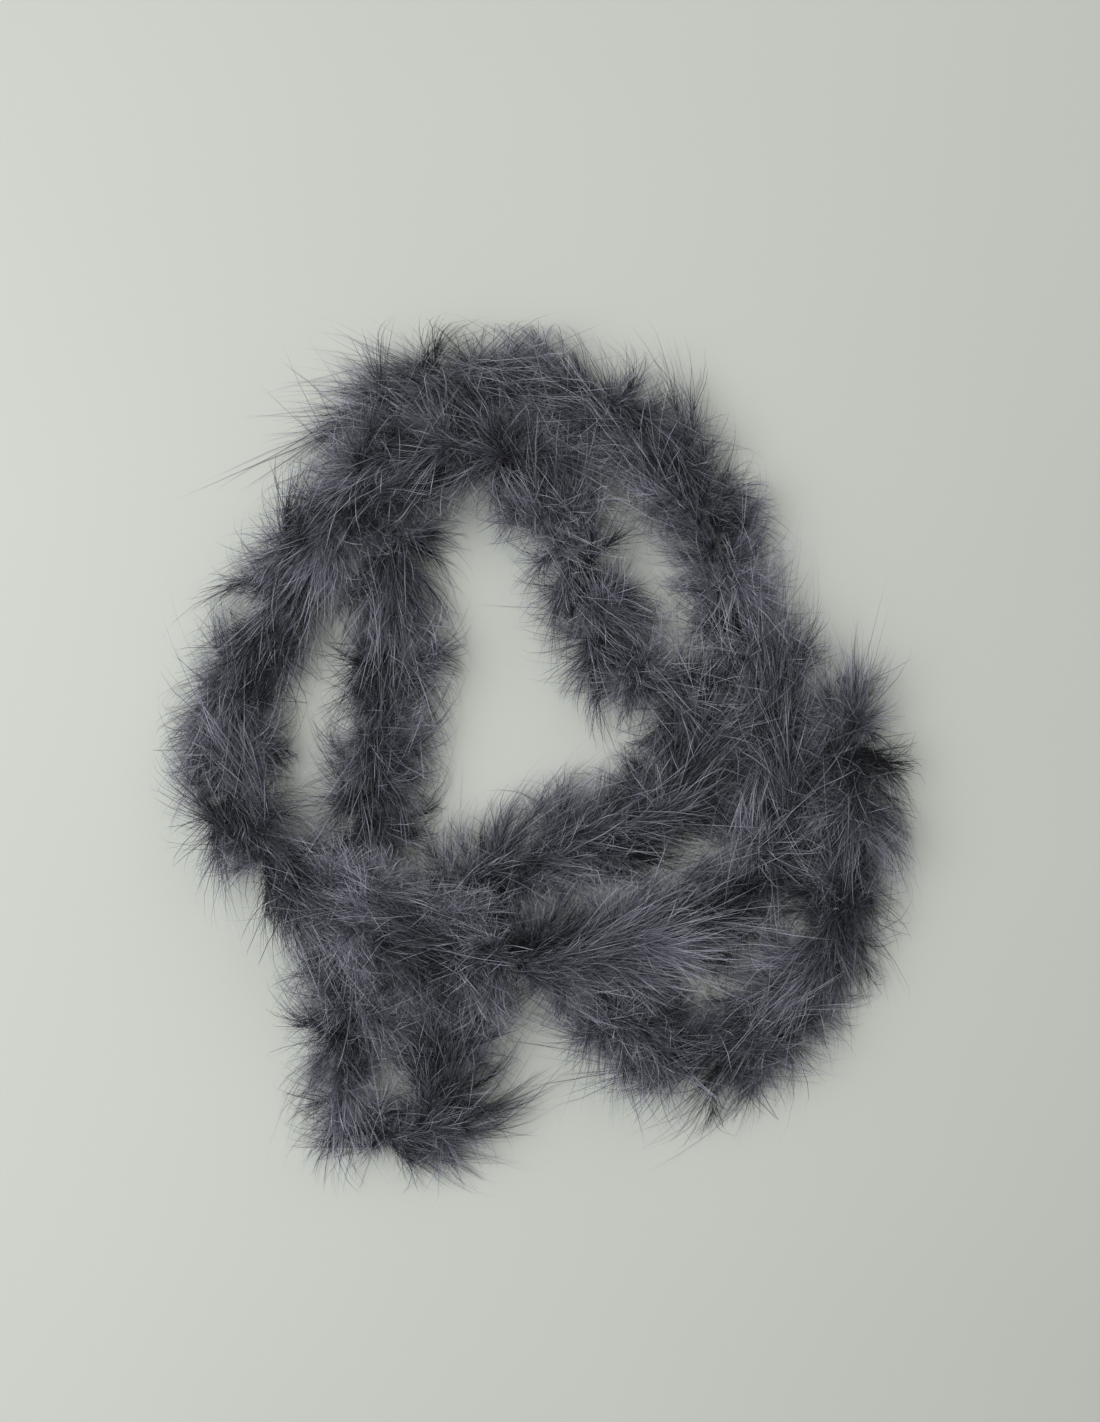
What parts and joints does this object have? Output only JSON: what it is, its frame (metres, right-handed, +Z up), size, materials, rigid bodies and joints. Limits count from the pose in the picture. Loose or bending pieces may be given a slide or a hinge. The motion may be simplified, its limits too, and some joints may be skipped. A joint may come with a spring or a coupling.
{
  "type": "feather boa",
  "caption": "Fluffy marabou feather boa laid in loose loops: soft down plumes bound in tufts along a limp two-ply cord, knotted at both ends.",
  "frame": {"origin": "middle of the laid boa's outline, on the table that it lies on", "axes": "+Z up from the table, +Y along the longer side of the laid loops, +X to the right seen from above"},
  "size_m": [0.3205, 0.3761, 0.0517],
  "materials": {
    "plume_down": "soft dyed down, matt with a faint silky sheen on each barb",
    "core_cotton": "matt twisted cotton",
    "binding_thread": "slightly glossy sewing thread"
  },
  "bodies": {
    "laid_boa": {"core_ply_left_body": "core_cotton", "core_ply_right_body": "core_cotton", "plume_tuft_03": "plume_down", "plume_tuft_04": "plume_down", "plume_tuft_05": "plume_down", "plume_tuft_06": "plume_down", "plume_tuft_07": "plume_down", "plume_tuft_08": "plume_down", "plume_tuft_09": "plume_down", "plume_tuft_10": "plume_down", "plume_tuft_11": "plume_down", "plume_tuft_12": "plume_down", "plume_tuft_13": "plume_down", "plume_tuft_14": "plume_down", "plume_tuft_15": "plume_down", "plume_tuft_16": "plume_down", "plume_tuft_17": "plume_down", "plume_tuft_18": "plume_down", "plume_tuft_19": "plume_down", "plume_tuft_20": "plume_down", "plume_tuft_21": "plume_down", "plume_tuft_22": "plume_down", "plume_tuft_23": "plume_down", "plume_tuft_24": "plume_down", "plume_tuft_25": "plume_down", "plume_tuft_26": "plume_down", "plume_tuft_27": "plume_down", "plume_tuft_28": "plume_down", "plume_tuft_29": "plume_down", "plume_tuft_30": "plume_down", "plume_tuft_31": "plume_down", "plume_tuft_32": "plume_down", "plume_tuft_33": "plume_down", "plume_tuft_34": "plume_down", "plume_tuft_35": "plume_down", "plume_tuft_36": "plume_down", "plume_tuft_37": "plume_down", "plume_tuft_38": "plume_down"},
    "loose_end_a": {"core_ply_left_loose_end_a": "core_cotton", "core_ply_right_loose_end_a": "core_cotton", "plume_tuft_01": "plume_down", "plume_tuft_02": "plume_down", "end_whipping_a": "binding_thread", "end_knot_a": "core_cotton"},
    "loose_end_b": {"core_ply_left_loose_end_b": "core_cotton", "core_ply_right_loose_end_b": "core_cotton", "plume_tuft_39": "plume_down", "plume_tuft_40": "plume_down", "end_whipping_b": "binding_thread", "end_knot_b": "core_cotton"}
  },
  "joints": [
    {"name": "loose_end_a_swing", "type": "hinge", "parent": "laid_boa", "child": "loose_end_a", "pos_m": [0.1444, -0.05979, 0.01114], "axis": [0, 0, 1], "range_deg": [-50, 0]},
    {"name": "loose_end_b_swing", "type": "hinge", "parent": "laid_boa", "child": "loose_end_b", "pos_m": [-0.04156, -0.0872, 0.03689], "axis": [0, 0, 1], "range_deg": [-20, 20]}
  ]
}
